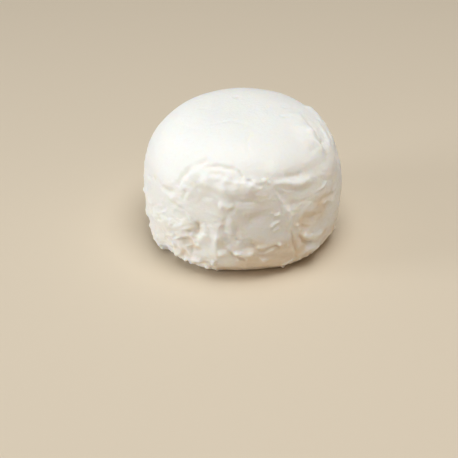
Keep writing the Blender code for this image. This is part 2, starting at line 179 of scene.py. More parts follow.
# Where the smooth top sheet was drawn over the shoulder and tore.
SHOULDER_FOLDS = [
    # The arch at the left: the sheet's edge, the rim inside it, and the band below the rim.
    Fold([(-43, 55.5), (-41.5, 58.5), (-40, 61), (-38.5, 63.5), (-37, 66.5), (-34, 69.3),
          (-31, 72), (-27, 74.3), (-22, 76)], -0.75, 3.6, 2.2, 0.2),
    Fold([(-28, 70.5), (-23.5, 72.2), (-19.5, 73), (-15.5, 73.3), (-11, 72.8), (-6.5, 72.2),
          (-3, 70.8)], -0.9, 1.5, 2.6, 0.15),
    Fold([(-38, 55.5), (-36.5, 59.5), (-35, 62.8), (-33, 65.7), (-30, 68.6), (-26.5, 70.6),
          (-21, 71)], 0.45, 3, 4.5, 0.25),
    Fold([(-4, 72), (-1.8, 69.3), (0.5, 67.3)], -0.8, 1.5, 1.8, 0.3),
    Fold([(-30, 60), (-27, 62.5), (-24, 63.7), (-19, 62.9), (-14, 61.9), (-9, 61.1), (-3, 60.7),
          (3, 61.2), (8, 62.8), (14, 65)], 1.7, 10, 7.5),
    Fold([(-31.5, 57), (-28.5, 59.7), (-25, 60.8), (-20, 60), (-15, 59.2), (-11, 58.7),
          (-5, 58.2)], -0.2, 1.6, 2.8),
    Fold([(-4, 58.6), (0, 58.6), (4, 59)], -0.4, 1.2, 1.8, 0.35),
    Fold([(-36.5, 57.3), (-36, 53.5), (-37, 49.5)], -0.8, 1.8, 2.2),
    Fold([(-34, 51.5), (-32.5, 55.5), (-30, 59.5)], 0.25, 2.4, 3),
    lump(-23, 54, -1.0, 12),
    # The torn lip at the right: the sheet turns down, ends in a bead, and hangs over a soft shade.
    Fold([(12, 66), (21, 68.8), (31, 70), (44, 69.5), (57, 67.5)], 0.55, 12, 6),
    Fold([(25, 66.7), (30, 65.8), (36, 65), (46, 64), (56, 62), (66, 60)], -0.5, 6.5, 3, 0.3),
    Fold([(28.5, 66), (36, 65.2)], -0.5, 2.6, 2.2, 0),
    Fold([(16.5, 64.4), (21, 64.2), (27, 63.1), (31, 61.8), (37, 60.7), (41, 61), (45, 61.8)],
         1.2, 2.6, 5, 0.15, 0.1),
    Fold([(12, 60.8), (22, 59.5), (28, 58.4), (39, 56.8), (50, 56), (60, 56)], -0.7, 6, 16, 0.25),
    Fold([(1, 62.8), (7, 63.4)], 0.5, 2.6, 4, 0),
    # The ridge that climbs the right shoulder, with a pressed band and a thin ridge outside it.
    Fold([(64.5, 64), (62.5, 68), (62, 72), (63.5, 76.5), (67.5, 81), (74, 84.7), (83, 88),
          (94, 88.5), (99, 89)], 1.2, 11, 9, 0.4),
    Fold([(65, 66), (63, 72), (64.5, 77), (69, 81.5), (76, 85)], 0.7, 13, 10, 0.3),
    Fold([(63, 65), (61.5, 71), (63, 76.5), (67, 80.7), (73.5, 84.5)], 0.75, 3, 4.5, 0.3),
    Fold([(64, 64), (62, 68), (61.5, 72), (62.5, 76)], 0.5, 4, 4),
    Fold([(67.5, 67), (68.5, 71), (71.5, 75.5), (75, 79.5), (80, 82.7), (89.5, 85), (106, 85.5)],
         -0.8, 4, 7, 0.2),
    lump(72.5, 77.5, -0.75, 2.1),
    lump(75, 80.5, -0.7, 2.2),
    lump(69.5, 72, -0.7, 2.1),
    lump(81, 83.3, -0.6, 2.2),
    lump(77.5, 79, 0.5, 1.8),
    lump(71.5, 74.5, 0.5, 1.8),
    Fold([(74.5, 66.5), (79.5, 71.5), (87, 75.7), (100, 78.5)], 0.9, 1.9, 1.9),
    Fold([(83, 64), (86, 66.7), (92, 70), (98, 72.3), (108, 75)], -1.3, 2, 4),
    Fold([(50, 72.5), (56, 73), (62, 71.5)], -0.3, 3, 3),
    # The sheet's edge at the left, and the valley beneath it.
    Fold([(-94, 60), (-76, 58), (-66, 56.5), (-58, 56.3), (-50, 57), (-43, 60.5)], 0.25, 9, 5),
    Fold([(-70, 54), (-63, 53.5), (-57, 53.2), (-52, 52.8), (-47, 53.5), (-43.5, 55.3),
          (-40.5, 57.5)], -0.25, 3.6, 3, 0.4),
    Fold([(-54, 52.8), (-47, 53.2), (-42.5, 55.2)], -0.6, 2.6, 2.4, 0.35),
    lump(-63.5, 53.3, -0.7, 2.4),
    # The same edge round the back, lower and rounder.
    Fold([(112, 62), (128, 59), (145, 63), (163, 60), (180, 62)], 1.2, 9, 3),
    Fold([(176, 63), (196, 59), (214, 62), (232, 58), (262, 62)], 1.3, 9, 3),
]

# Marks in the smooth top itself.
TOP_MARKS = [
    Fold([(-55, 95.5), (-49, 99), (-40, 103.7), (-28, 106.3), (0, 105), (22, 102)], -0.22, 1.4, 2),
    Fold([(-80, 84), (-62, 88), (-50, 92)], -0.15, 2, 3),
    Fold([(4, 80), (4, 91), (8, 97)], -0.18, 2, 2),
    Fold([(119, 93), (109, 94), (101, 95.2)], -0.55, 1.9, 1.9, 0.3),
    Fold([(121, 87.7), (110, 89.5), (100, 91.3)], -0.4, 2.1, 2.1, 0.3),
    Fold([(86, 92), (81, 94.5), (78, 97)], -0.25, 2.4, 2.4, 0.3),
    lump(76.5, 96.5, -0.4, 2.4),
    lump(79, 95.5, -0.25, 1.8),
    lump(70, 88, -0.2, 2),
    lump(-102, 96, -0.3, 2),
    lump(-125, 90, -0.35, 2.2),
    lump(-170, 102, -0.4, 2.2),
    lump(4, 91, -0.25, 1.8),
    lump(9, 96, -0.25, 1.6),
    lump(-3.5, 83, -0.2, 2),
    Fold([(60, 104), (85, 108), (130, 108)], 0.2, 4, 4),
    Fold([(-150, 95), (-120, 99), (-100, 104)], 0.22, 3, 4),
]

# The front, below the lip.
FRONT_FOLDS = [
    # The shallow trough under the lip, the crease that ends it, and the pads round it.
    Fold([(-9, 57.4), (-2, 57.4), (5, 57.4), (11, 57.4)], -0.2, 3, 3.4),
    Fold([(-5, 55.4), (-1, 55.3), (3.5, 55.5), (9, 55.2)], -0.4, 3, 1.4, 0.3),
    lump(-11.3, 53.2, 0.5, 5),
    Fold([(-14.8, 51.5), (-5, 52.8)], 1.1, 5.5, 2.4, 0.2),
    Fold([(-15, 57), (-12.5, 55)], 0.4, 2, 2.2, 0),
    Fold([(-7, 51.8), (0, 51.6), (9, 51.8)], 0.5, 5, 5),
    Fold([(9, 55), (15, 55.3), (21, 54.6)], 0.3, 2, 2.4),
    Fold([(1, 48.6), (5.5, 49.8), (10.5, 51)], 0.4, 3.4, 3.6),
    # The valley that slants down to the left, and the wide facet beyond it.
    Fold([(14, 50), (9, 47.5), (5, 45), (2, 42), (-0.5, 38.5)], -0.75, 6.5, 6, 0.4),
    lump(11, 38, 0.5, 10),
    # The upright folds left of the middle, and the creases between them.
    Fold([(-3.6, 44), (-3.5, 39), (-4, 34), (-5, 29.5)], -0.35, 3, 3.4, 0.35),
    Fold([(-6.8, 50), (-6.8, 44), (-7.2, 37), (-8, 31)], 0.35, 2.6, 3.4, 0.35),
    Fold([(-10, 50), (-10.3, 45.5), (-11, 41), (-12, 37)], -0.35, 3, 3, 0.35),
    Fold([(-14.3, 42), (-15, 36), (-15.4, 30), (-15.4, 24), (-15.4, 17)], 1.9, 5.5, 6, 0.35),
    Fold([(-20.5, 38.5), (-16, 41), (-11, 42.5)], 0.5, 2.2, 4, 0.25),
    Fold([(-23, 26), (-22, 31.5), (-20.5, 37)], 0.6, 2.2, 4, 0.25),
    Fold([(-20.5, 38), (-22.8, 34), (-24.8, 30), (-26.8, 26)], 0.9, 3, 3.2, 0.3),
    # The dark folds that close the facet below.
    Fold([(-6, 34), (1, 33.2), (7, 33)], -0.7, 1.6, 2.2),
    Fold([(0, 30.6), (6, 30.4)], -1.1, 3.2, 3.2, 0),
    Fold([(-2.5, 29), (4, 28.2), (7, 27.5), (11, 26), (14, 26.2), (17, 27.3), (22, 26.3)],
         -0.75, 2, 1.5, 0.1),
    # The fan of fine lines at the right, the ridge it gathers into, and the crease below.
    Fold([(18.5, 60.5), (20.5, 56), (23.5, 52), (25.2, 48)], 0.35, 1.5, 1.5, 0.35),
    Fold([(19.5, 60.8), (25, 58.4), (32, 56)], 0.35, 1.4, 1.6, 0.35),
    Fold([(16.5, 59), (16, 54), (17, 49)], 0.25, 1.5, 1.5, 0.35),
    Fold([(20.5, 53.5), (21.5, 49), (23, 45)], -0.25, 1.5, 1.5, 0.35),
    Fold([(24.5, 51.5), (26.2, 46), (27, 40.5), (27, 34.5)], 1.2, 3, 3, 0.25),
    Fold([(28.5, 36), (29.6, 31), (31, 26), (33.2, 19), (35, 13)], -1.3, 1.8, 1.8, 0.2),
    Fold([(25, 34), (26.5, 28), (28, 22)], 0.3, 1.8, 1.8),
    # The pocket on the right, the forked fold below it and the bulge at the bottom.
    lump(30, 51, -0.6, 4.6),
    Fold([(33, 42.5), (38.5, 39.5), (46, 37.4)], -1.3, 5, 5, 0.3),
    Fold([(31, 49.7), (36, 50.7), (42, 50)], -0.35, 1.6, 1.6),
    Fold([(42, 40.2), (47, 39.3), (52, 38.4)], -0.55, 1.6, 2),
    Fold([(31, 39.5), (32.7, 36.2), (34.2, 32.5)], 0.8, 1.6, 1.9, 0.25),
    Fold([(33.6, 38), (36, 35.2), (42, 33.8)], -0.8, 1.5, 2, 0.2),
    Fold([(35.5, 31.2), (38, 29.9), (43, 27.2), (49, 25.6), (57, 25.3)], 1.3, 2.6, 2.8, 0.2),
    Fold([(33, 33), (34.5, 29.5), (37, 27), (42.5, 23.9), (49, 22.3)], -1.3, 1.8, 2.2),
    Fold([(36.5, 21), (42, 19.5), (49, 17.2), (57, 14)], 1.9, 3.6, 5),
    # The slanting ridge under the right end of the lip, and what lies below it.
    Fold([(43, 51.8), (50.5, 52.9), (55, 53.8), (61, 55)], 0.6, 1, 1.7, 0.45),
    Fold([(49, 46.7), (55.5, 45.8), (61.5, 44.6), (70, 42)], -0.7, 1.9, 2.8),
    Fold([(44, 46), (50, 44), (58, 42), (68, 38)], 0.5, 3, 4),
    Fold([(66, 30), (74, 28), (83, 29)], -0.6, 2.6, 3),
]

# The left of the front: a soft bulge, wrinkled like a hand.
LEFT_FOLDS = [
    # Below a curved line the side swells, and fine lines cross the swelling.
    Fold([(-70, 27), (-57, 30.5), (-46, 33.5), (-36, 35.5), (-28, 36.5)], 1.6, 9, 8),
    lump(-43.5, 50.2, 0.7, 3),
    Fold([(-47, 48.4), (-43, 47.3), (-38.5, 47), (-35, 46.3)], -0.6, 1.8, 2.2),
    lump(-58.5, 34.8, 0.7, 3.2),
    lump(-55.5, 31.8, 0.6, 2.8),
    lump(-66, 31, 0.8, 4.5),
    Fold([(-25.5, 42.8), (-35, 38), (-45, 32)], 0.25, 1.5, 1.5),
    Fold([(-27.5, 39), (-35, 34.5), (-42.5, 29.3), (-49.5, 23)], 0.3, 1.6, 1.6),
    Fold([(-56, 35.8), (-46.5, 33.8), (-38.5, 32)], 0.25, 1.5, 1.5),
    Fold([(-52, 31.5), (-46, 28), (-41, 26)], 0.3, 1.5, 1.5),
    Fold([(-34, 42), (-36, 37.5), (-40, 33)], 0.2, 1.3, 1.3),
    Fold([(-44, 38.5), (-45.5, 34), (-49, 29.5)], 0.25, 1.3, 1.3),
    Fold([(-30, 44.3), (-39, 40), (-48, 34), (-55, 28)], -0.25, 1.6, 1.6),
    Fold([(-66, 27.3), (-60.5, 26.3), (-54, 24.8), (-50, 22.5), (-47, 20.8)], -0.8, 1.8, 1.8, 0.2),
    # The pit, the rim below it, the tooth beside it, and the pockets below the rim.
    Fold([(-26.5, 39.5), (-26, 36.7), (-26.4, 33.6)], -1.2, 4.6, 3.2, 0),
    Fold([(-32, 33.9), (-27, 34.6)], -0.5, 1.6, 1.6),
    Fold([(-46.5, 23.5), (-38.5, 29.2), (-31.5, 31.8), (-27, 32)], 1.0, 2.4, 2.6, 0.2, 0.3),
    Fold([(-35.5, 26.2), (-31.5, 27)], -2.3, 4, 4.4, 0),
    Fold([(-31, 21.8), (-25, 23.6)], -1.9, 3.8, 3.8, 0),
    Fold([(-39.5, 24), (-38.7, 20.5), (-38, 17)], 0.9, 2, 2),
    Fold([(-84, 43), (-76, 41), (-69, 39)], -0.6, 2.2, 3),
    Fold([(-84, 50), (-76, 49), (-69, 47)], 0.5, 3, 3),
]

# The lowest part of the front, where curd was squeezed out and torn.
FOOT_FOLDS = [
    lump(-44, 20.6, 0.9, 2.3),
    Fold([(-50, 15.8), (-45, 17.4), (-42, 18.6)], -1.6, 3.4, 3.4, 0),
    Fold([(-43.5, 15), (-43, 11)], 0.9, 1.8, 1.8, 0),
    lump(-47.5, 11, 1.1, 2.2),
    Fold([(-41, 11), (-35, 13.5), (-30, 15), (-22.5, 17)], 1.7, 2.2, 3, 0.15),
    lump(-37, 18, -1.5, 3),
    lump(-11.3, 25.2, 2.1, 3.2),
    Fold([(-17, 19.5), (-17.4, 16.5), (-18, 13.5)], 1.1, 1.8, 1.8, 0.1),
    Fold([(-4.3, 25), (0, 24.7), (4.6, 25)], 1.5, 2.2, 2.8, 0),
    lump(-3, 20.5, 0.7, 1.5),
    Fold([(-9, 27.5), (-6, 23.8), (-2, 22.2), (3, 20.3)], -0.9, 1.3, 1.6, 0.15),
    Fold([(8, 19.5), (16, 20.5), (24, 17.5), (30, 15.5)], 0.8, 3, 3),
    Fold([(7, 22.3), (12, 22.6), (18, 21.5)], -0.4, 1.5, 1.5),
    Fold([(5, 24.3), (9, 22.6), (15, 19.3)], 0.5, 1.5, 1.8),
    Fold([(-14, 14), (-4, 12.5), (6, 12.8)], 0.4, 1.6, 2),
    lump(26.5, 14, 1.3, 2.8),
    lump(6, 16, -0.7, 4),
    lump(35, 15, -0.9, 2.6),
    lump(57, 16, -0.8, 3.5),
]

# Small nodules that stand on the front, and shreds along the torn lip.
NODULES = [
    lump(16.5, 47.6, 0.8, 1.5),
    Fold([(18.3, 46.4), (20, 46.5)], 0.9, 1.6, 1.6, 0),
    Fold([(17.8, 41.6), (19.4, 42)], 0.7, 1.5, 1.5, 0),
    lump(16.8, 40.6, 0.6, 1.4),
    lump(19, 38.2, 0.9, 1.7),
    Fold([(9, 28.8), (12, 28.7)], 0.5, 1.6, 1.6, 0),
    lump(21, 28, 1.1, 1.9),
    lump(16.5, 25.6, 0.5, 1.4),
    lump(3.5, 66.2, -0.7, 1.7),
    lump(0, 65, 0.5, 1.7),
    lump(4.8, 64.3, 0.7, 2),
    lump(7.5, 65.6, 0.5, 1.6),
    lump(10, 64, -0.5, 1.5),
    lump(12.5, 65.9, 0.6, 1.8),
    lump(15.5, 64.6, 0.5, 1.6),
    lump(-3.5, 65.3, 0.4, 1.8),
    lump(-7, 66.8, -0.4, 1.6),
    lump(-10, 65, 0.45, 2.2),
    lump(-16, 66.5, 0.3, 2),
    lump(-13, 68.3, -0.35, 1.8),
    Fold([(-24, 67.5), (-18, 69), (-12, 69.5)], -0.3, 1.5, 2),
]

# Where the curd is tinted brown: azimuth, climb and radius in mm, and strength. Partly whey that
# gathers, partly painted shade in the pockets and at the foot, and painted warm bounce at the foot
# and the right edge.
DAMP_AND_SHADE_PATCHES = [
    (8, 30, 6, 0.7), (22, 24, 9, 0.9), (37, 38, 7, 0.9), (48, 44, 9, 0.6), (60, 48, 9, 0.5),
    (36, 26, 8, 0.8), (-33, 26.5, 4, 0.9), (-46, 18, 6, 0.6), (-25.5, 36, 4.5, 0.5),
    (6, 15, 14, 0.7), (-27, 11, 8, 0.5), (30, 56, 9, 0.35), (10, 57, 7, 0.2),
    (50, 61, 10, 0.35), (75, 19, 13, 0.75),
    (93, 32, 15, 0.75), (-3, 37, 5, 0.4), (150, 30, 14, 0.7), (185, 22, 12, 0.8),
    (215, 40, 12, 0.5), (250, 20, 14, 0.8), (128, 48, 10, 0.4), (-14, 9, 8, 0.7),
    (4, 9, 11, 0.9), (22, 10, 11, 1.0), (44, 9, 9, 0.9), (66, 8, 10, 0.8), (50, 40, 8, 0.5),
    (28, 20, 8, 1.0), (-27.5, 24, 4, 0.8), (-37, 18, 4, 0.6), (55, 24, 6, 0.6),
]

# Where the curd lies smooth: azimuth, climb and radius in mm, and what share of the crumple goes.
CALM_PATCHES = [
    (-23, 53, 11, 0.85), (10, 38, 11, 0.8), (-66, 47, 13, 0.8), (34, 56, 14, 0.7),
    (-15, 67, 12, 0.6), (44, 64, 12, 0.7), (2, 51, 8, 0.6), (45, 18, 8, 0.6), (-52, 50, 7, 0.5),
    (75, 76, 12, 0.5), (4, 14, 12, 0.5), (96, 48, 12, 0.5), (200, 46, 14, 0.6),
]


# ---------------------------------------------------------------- the skin


def skin_profile():
    """Climb, radius and height along the skin, from the edge of the foot to the middle of the top.

    Below the belly the outline is a quarter of a superellipse round the foot's edge, and above it
    a quarter of a superellipse round the axis.
    """
    quarter = np.linspace(0.0, math.pi / 2, PROFILE_SAMPLES)
    reach = DIAMETER / 2 - FOOT_RADIUS
    heel_radius = FOOT_RADIUS + reach * np.sin(quarter) ** (2 / HEEL_POWER)
    heel_height = BELLY_HEIGHT * (1 - np.cos(quarter).clip(0) ** (2 / HEEL_POWER))
    crown_radius = DIAMETER / 2 * np.cos(quarter).clip(0) ** (2 / CROWN_POWER)
    crown_height = BELLY_HEIGHT + (HEIGHT - BELLY_HEIGHT) * np.sin(quarter) ** (2 / CROWN_POWER)
    radius = np.concatenate([heel_radius, crown_radius[1:]])
    height = np.concatenate([heel_height, crown_height[1:]])
    steps = np.hypot(np.diff(radius), np.diff(height))
    climb = np.concatenate([[0.0], np.cumsum(steps)])
    return climb, radius, height


CLIMB, RADIUS, LEVEL = skin_profile()


def skin_point(azimuth, climb):
    """Where a place lies on the plain turned skin: the profile's radius and height, turned."""
    radius = np.interp(climb, CLIMB, RADIUS)
    turn = np.radians(azimuth)
    height = np.interp(climb, CLIMB, LEVEL)
    return np.stack([radius * np.sin(turn), -radius * np.cos(turn), height], axis=-1)


def skin_normal(azimuth, climb):
    """The outward direction there: the profile's tangent, turned a quarter outwards."""
    run = np.interp(climb, CLIMB, np.gradient(RADIUS, CLIMB))
    lift = np.interp(climb, CLIMB, np.gradient(LEVEL, CLIMB))
    turn = np.radians(azimuth)
    normal = np.stack([lift * np.sin(turn), -lift * np.cos(turn), -run], axis=-1)
    return normal / np.linalg.norm(normal, axis=-1, keepdims=True)


def skin_grid():
    """Azimuths and climbs of the grid's corners, as two arrays of rings by sectors."""
    azimuths = np.arange(SECTORS) * 360 / SECTORS
    climbs = np.concatenate([
        np.linspace(0.0, HEEL_CLIMB, HEEL_RINGS, endpoint=False),
        np.linspace(HEEL_CLIMB, SIDE_CLIMB, SIDE_RINGS, endpoint=False),
        np.linspace(SIDE_CLIMB, CLIMB[-1], TOP_RINGS, endpoint=False),
    ])
    return np.meshgrid(azimuths, climbs)


def smooth_path(places):
    """A Catmull-Rom curve through the places, as azimuths and climbs in metres."""
    knots = np.array(places, dtype=float)
    knots[:, 1] *= MM
    knots = np.concatenate([2 * knots[:1] - knots[1:2], knots, 2 * knots[-1:] - knots[-2:-1]])
    along = np.linspace(0.0, len(places) - 1.0, PATH_SAMPLES + 1)
    first = np.minimum(along.astype(int), len(places) - 2)
    share = (along - first)[:, None]
    before, here, there, after = (knots[first + step] for step in range(4))
    curve = 2 * here + (there - before) * share
    curve += (2 * before - 5 * here + 4 * there - after) * share**2
    curve += (3 * here - before - 3 * there + after) * share**3
    return curve.T / 2


def add_fold(shifts, points, normals, vigour, fold):
    """Adds one fold to the shifts of the points that it reaches.

    Its cross-section is (1 - x ** CREST_POWER) squared, where x is the distance to the path over
    the width on that side, times the vigour, and times a smooth step from 0 over each of its
    ends. A point moves outwards by the rise times the section, and to the path's right by the
    droop times the section.
    """
    path = skin_point(*smooth_path(fold.places))
    middle = path.mean(axis=0)
    reach = np.linalg.norm(path - middle, axis=1).max() + max(fold.left, fold.right) * MM
    near = np.flatnonzero(((points - middle) ** 2).sum(1) < reach**2)
    if not len(near):
        return
    starts = path[:-1]
    runs = np.diff(path, axis=0)
    offsets = points[near, None, :] - starts
    share = (offsets * runs).sum(-1) / (runs**2).sum(-1)
    share = share.clip(0.0, 1.0)
    gaps = offsets - share[..., None] * runs
    distances = np.linalg.norm(gaps, axis=-1)
    nearest = distances.argmin(axis=1)
    row = np.arange(len(near))
    leftwards = np.cross(normals[near], runs[nearest])
    leftwards /= np.linalg.norm(leftwards, axis=1, keepdims=True)
    on_left = (gaps[row, nearest] * leftwards).sum(-1) > 0
    width = np.where(on_left, fold.left, fold.right) * MM
    section = (1 - (distances[row, nearest] / width).clip(0, 1) ** CREST_POWER) ** 2
    section *= vigour[near]
    if fold.ends:
        progress = (nearest + share[row, nearest]) / PATH_SAMPLES
        from_end = (np.minimum(progress, 1 - progress) / fold.ends).clip(0, 1)
        section *= from_end * from_end * (3 - 2 * from_end)
    shifts[near] += section[:, None] * MM * (fold.rise * normals[near] - fold.droop * leftwards)


def slant_ends(azimuth, climb, lean, half):
    """The two ends of a line round a place, of that half length and leaning so far from level."""
    across = half * math.cos(math.radians(lean)) / math.radians(DIAMETER / 2 / MM)
    up = half * math.sin(math.radians(lean))
    return (azimuth - across, climb - up), (azimuth + across, climb + up)


def wrinkles(draw):
    """Short bent folds and creases, as wrapping leaves, scattered round the unseen sides."""
    made = []
    for _ in range(WRINKLE_COUNT):
        azimuth = draw.uniform(*WRINKLED_AZIMUTHS)
        climb = draw.uniform(*WRINKLE_CLIMBS)
        lean = draw.uniform(-WRINKLE_LEAN, WRINKLE_LEAN)
        start, end = slant_ends(azimuth, climb, lean, draw.uniform(*WRINKLE_HALF_LENGTHS))
        bend = draw.uniform(-WRINKLE_BEND, WRINKLE_BEND)
        rise = draw.uniform(*WRINKLE_RISES) * draw.choice((-1, 1))
        left = WRINKLE_NARROWING[0] * draw.uniform(*WRINKLE_LEFTS)
        right = WRINKLE_NARROWING[1] * draw.uniform(*WRINKLE_RIGHTS)
        if azimuth > CLEAR_AZIMUTH:
            made.append(Fold([start, (azimuth, climb + bend), end], rise, left, right))
    return made


def crags(draw):
    """Torn bits of curd along the foot, each a short, nearly level lump, except at the front."""
    made = []
    for index in range(CRAG_COUNT):
        azimuth = (index + draw.uniform(-CRAG_STRAY, CRAG_STRAY)) * 360 / CRAG_COUNT
        climb = draw.uniform(*CRAG_CLIMBS)
        half = draw.uniform(*CRAG_HALF_TURNS)
        end_climb = climb + draw.uniform(-CRAG_SLANT, CRAG_SLANT)
        places = [(azimuth - half, climb), (azimuth + half, end_climb)]
        crag = Fold(places, draw.uniform(*CRAG_RISES), CRAG_WIDTH, CRAG_WIDTH, 0)
        if FRONT_HALF < azimuth < 360 - FRONT_HALF:
            made.append(crag)
    return made


def fibres(draw):
    """Fine lines that cross on the swelling at the left, in two slanting directions."""
    made = []
    for _ in range(FIBRE_COUNT):
        azimuth = draw.uniform(*FIBRE_AZIMUTHS)
        climb = draw.uniform(*FIBRE_CLIMBS)
        lean = draw.choice(FIBRE_LEANS) + draw.uniform(-FIBRE_STRAY, FIBRE_STRAY)
        places = list(slant_ends(azimuth, climb, lean, draw.uniform(*FIBRE_HALF_LENGTHS)))
        rise = draw.uniform(*FIBRE_RISES) * draw.choice((-1, 1))
        left = draw.uniform(*FIBRE_WIDTHS)
        made.append(Fold(places, rise, left, draw.uniform(*FIBRE_WIDTHS)))
    return made


def crumbs(draw):
    """Grains of torn curd along the foot, each a tiny lump or pit."""
    made = []
    for _ in range(CRUMB_COUNT):
        azimuth = draw.uniform(-180, 180)
        climb = draw.uniform(*CRUMB_CLIMBS)
        rise = draw.uniform(*CRUMB_RISES) * draw.choice(CRUMB_SIGNS)
        crumb = lump(azimuth, climb, rise, draw.uniform(*CRUMB_RADII))
        if not CRUMB_GAP[0] < azimuth < CRUMB_GAP[1]:
            made.append(crumb)
    return made


def fine_creases(draw):
    """Hair creases and little ridges round the unseen side, too small for the solid."""
    made = []
    for _ in range(CREASE_COUNT):
        azimuth = draw.uniform(FRONT_HALF, 360 - FRONT_HALF)
        climb = draw.uniform(*CREASE_CLIMBS)
        lean = draw.uniform(-CREASE_LEAN, CREASE_LEAN)
        start, end = slant_ends(azimuth, climb, lean, draw.uniform(*CREASE_HALF_LENGTHS))
        middle = (azimuth, climb + draw.uniform(-CREASE_BEND, CREASE_BEND))
        rise = draw.uniform(*CREASE_RISES) * draw.choice((-1, 1))
        left = draw.uniform(*CREASE_WIDTHS)
        made.append(Fold([start, middle, end], rise, left, draw.uniform(*CREASE_WIDTHS)))
    return made


def noise(points, cell, draw):
    """Random numbers from -1 to 1 on the corners of cubic cells, blended smoothly in between."""
    table = draw.uniform(-1, 1, (LATTICE, LATTICE, LATTICE))
    turn = np.linalg.qr(draw.normal(size=(3, 3)))[0]
    scaled = points @ turn / (cell * MM) + draw.uniform(0, LATTICE, 3)
    corner = np.floor(scaled).astype(int)
    share = scaled - corner
    share = share * share * share * (share * (6 * share - 15) + 10)
    total = 0.0
    for step in np.ndindex(2, 2, 2):
        weight = np.where(step, share, 1 - share).prod(-1)
        spot = (corner + step) % LATTICE
        total = total + weight * table[spot[:, 0], spot[:, 1], spot[:, 2]]
    return total


def wander(points, draw):
    """How far each point is led astray, before its distance to the folds is measured.

    Along each axis it is a sum of noises, each times its distance.
    """
    astray = np.zeros_like(points)
    for cell, distance in WANDER:
        for axis in range(3):
            astray[:, axis] += distance * MM * noise(points, cell, draw)
    return astray


def crumple(points, draw):
    """The fine relief in metres: octaves of soft lumps with sharp creases, and of sharp ridges.

    An octave is 2|a| - CRUMPLE_MIDDLE where a is noise, which is creased at a = 0, and the
    negative of another such where a slower noise is high, blended in between.
    """
    squat = points * (1, 1, FLATTENING)
    blend = (0.5 + noise(squat, BLEND_CELL, draw)).clip(0, 1)
    height = 0.0
    for cell, depth in CRUMPLE:
        billow = 2 * np.abs(noise(squat, cell, draw)) - CRUMPLE_MIDDLE
        ridge = CRUMPLE_MIDDLE - 2 * np.abs(noise(squat, cell, draw))
        height = height + depth * MM * (billow + blend * (ridge - billow))
    return height


def soften(values, passes):
    """Values of the grid, each averaged with its neighbours so many times."""
    for _ in range(passes):
        values = (2 * values + np.roll(values, 1, 1) + np.roll(values, -1, 1)) / 4
        padded = np.concatenate([values[:1], values, values[-1:]])
        values = (2 * values + padded[:-2] + padded[2:]) / 4
    return values


def sheet_share(azimuth, climb, draw, points):
    """1 on the smooth top sheet and 0 below its edge, with a ragged border.

    It is a smooth step of the climb above the edge, plus a noise, over SHEET_MARGIN.
    """
    places = np.array(SHEET_EDGE, float)
    turned = (azimuth + 180) % 360 - 180
    edge = np.interp(turned, places[:, 0], places[:, 1]) * MM
    cell, distance = SHEET_RAGGED
    ragged = distance * MM * noise(points, cell, draw)
    share = ((climb - edge + ragged) / SHEET_MARGIN + SHEET_START).clip(0, 1)
    return share * share * (3 - 2 * share)


def patches(points, table):
    """The sum of round patches at each point, each fading as a bell from its middle."""
    total = np.zeros(len(points))
    for azimuth, climb, radius, strength in table:
        gap = np.linalg.norm(points - skin_point(azimuth, climb * MM), axis=1)
        total += strength * np.exp(-((gap / (radius * MM)) ** 2) * PATCH_STEEPNESS)
    return total


def build_curd():
    """The skin's grid of points, and for each its crest, sheet and whey-and-shade values.

    A point is the turned form plus, along its normal, all the folds and the crumple. Its crest is
    how far it stands out from its surroundings in mm, its sheet is 1 on the smooth top sheet, and
    its whey-and-shade value says how brown it is painted: partly damp curd, partly painted shade
    in the pockets and at the foot, and painted warm bounce at the foot and the right edge.
    """
    azimuth, climb = skin_grid()
    shape = azimuth.shape
    plain = skin_point(azimuth, climb)
    normals = skin_normal(azimuth, climb)
    points = plain.reshape(-1, 3)
    outward = normals.reshape(-1, 3)
    draw = np.random.default_rng(FINE_SEED)
    found = points + wander(points, draw)
    shifts = np.zeros_like(points)
    for fold in SLUMPS:
        add_fold(shifts, found, outward, np.ones(len(points)), fold)
    folds = SHOULDER_FOLDS + TOP_MARKS + FRONT_FOLDS + LEFT_FOLDS + FOOT_FOLDS + NODULES
    form = np.random.default_rng(SEED)
    folds += wrinkles(form) + crags(form) + fine_creases(draw) + crumbs(draw) + fibres(draw)
    cell, share = VIGOUR
    vigour = 1 + share * noise(points, cell, draw)
    for fold in folds:
        add_fold(shifts, found, outward, vigour, fold)
    sheet = sheet_share(azimuth.ravel(), climb.ravel(), draw, points)
    calm = (1 - patches(found, CALM_PATCHES)).clip(LEAST_CRUMPLE, 1)
    relief = (1 - (1 - SHEET_SHARE) * sheet) * calm * crumple(points + shifts, draw)
    cell, depth = SHEET_WAVE
    relief += depth * MM * noise(points, cell, draw)
    shifts += relief[:, None] * outward
    fade = (climb / FOOT_MARGIN).clip(0, 1)
    skin = plain + fade[..., None] * shifts.reshape(*shape, 3)
    skin[1:, :, 2] = np.maximum(skin[1:, :, 2], LEAST_FLOOR_GAP)
    height = (fade.ravel() * (shifts * outward).sum(-1)).reshape(shape)
    crest = (height - soften(height, BLUR_PASSES)) / MM
    # How brown each point is painted: partly whey, partly painted shade in the pockets and at the
    # foot, and painted warm bounce at the foot and the right edge.
    whey_and_shade = patches(points + wander(points, draw), DAMP_AND_SHADE_PATCHES).reshape(shape)
    return skin, {"crest": crest, "sheet": sheet.reshape(shape), "whey_and_shade": whey_and_shade}


def mesh_piece(name, points, faces):
    """A smooth-shaded object of those points and faces, at the origin."""
    mesh = bpy.data.meshes.new(name)
    mesh.from_pydata(points.tolist(), [], faces)
    mesh.shade_smooth()
    piece = bpy.data.objects.new(name, mesh)
    bpy.context.scene.collection.objects.link(piece)
    return piece


def add_values(piece, name, values):
    """Stores one number for each of the piece's points, for its material."""
    store = piece.data.attributes.new(name, "FLOAT", "POINT")
    store.data.foreach_set("value", values.astype(np.float32))


